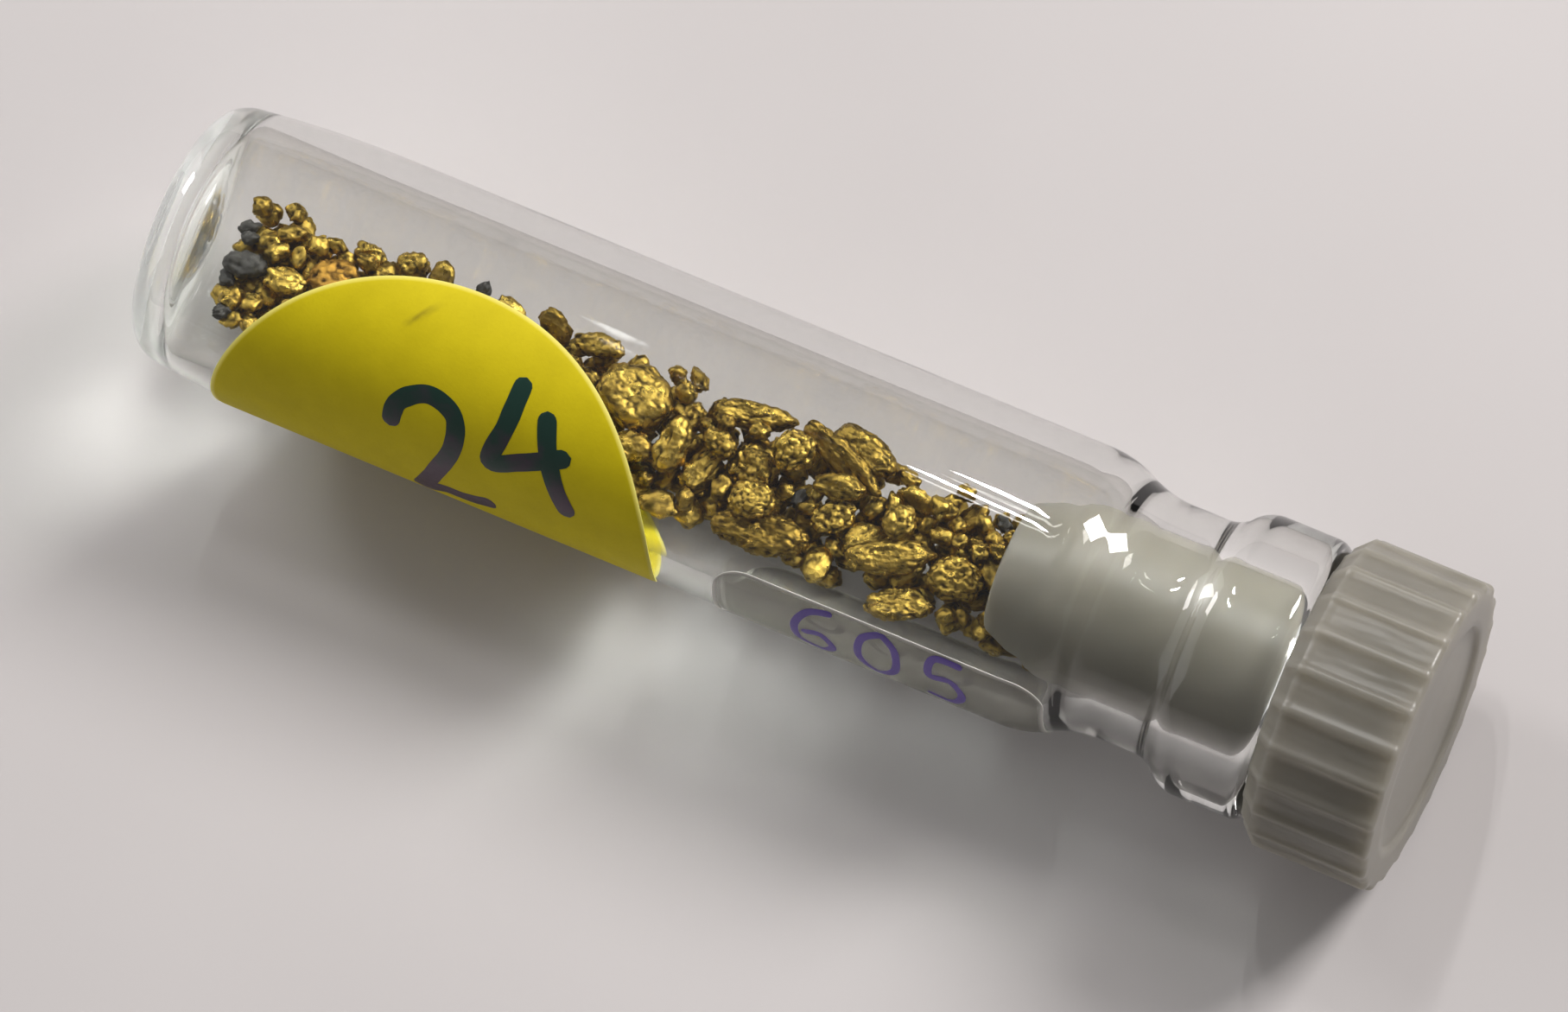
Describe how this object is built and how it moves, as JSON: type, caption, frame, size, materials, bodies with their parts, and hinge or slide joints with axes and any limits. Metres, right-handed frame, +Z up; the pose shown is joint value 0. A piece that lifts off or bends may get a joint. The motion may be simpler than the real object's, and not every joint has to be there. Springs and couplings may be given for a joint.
{
  "type": "gold sample vial",
  "caption": "Small necked glass vial lying on its side, with placer gold inside, a fluted press-in plug stopper, a round dot label and a tape strip.",
  "frame": {"origin": "on the surface the vial lies on, under the middle of its overall length; the vial's axis is 6.37 mm above it", "axes": "+X along the vial's axis from the base of the glass to the stopper's head, +Z up, with the gold settled towards -Z; the dot label faces -Y"},
  "size_m": [0.0534, 0.0128, 0.0127],
  "materials": {
    "glass": "gloss",
    "stopper": "satin",
    "dot_paper": "matte",
    "tape": "satin",
    "gold": "satin",
    "stained_gold": "matte",
    "dark_stone": "matte"
  },
  "bodies": {
    "vial": {"black_sand": "dark_stone", "coarse_gold": "gold", "dark_chip": "dark_stone", "dark_stone": "dark_stone", "dot_label": "dot_paper", "glass_vial": "glass", "gold_flakes": "gold", "gold_grains": "gold", "gold_picker_01": "gold", "gold_picker_02": "gold", "gold_picker_03": "gold", "gold_picker_04": "gold", "gold_picker_05": "gold", "gold_picker_06": "gold", "gold_picker_07": "gold", "gold_picker_08": "gold", "gold_picker_09": "gold", "gold_picker_10": "gold", "gold_picker_11": "gold", "gold_picker_12": "gold", "gold_picker_13": "gold", "gold_picker_14": "gold", "gold_picker_15": "gold", "gold_picker_16": "gold", "gold_picker_17": "gold", "gold_picker_18": "gold", "gold_picker_19": "gold", "gold_picker_20": "gold", "gold_picker_21": "gold", "gold_picker_22": "gold", "gold_picker_23": "gold", "gold_picker_24": "gold", "stained_gold": "stained_gold", "tape_label": "tape"},
    "stopper": {"plug_stopper": "stopper"}
  },
  "joints": [
    {"name": "stopper_pull", "type": "slide", "parent": "vial", "child": "stopper", "axis": [1, 0, 0], "range_m": [0, 0.025]}
  ]
}
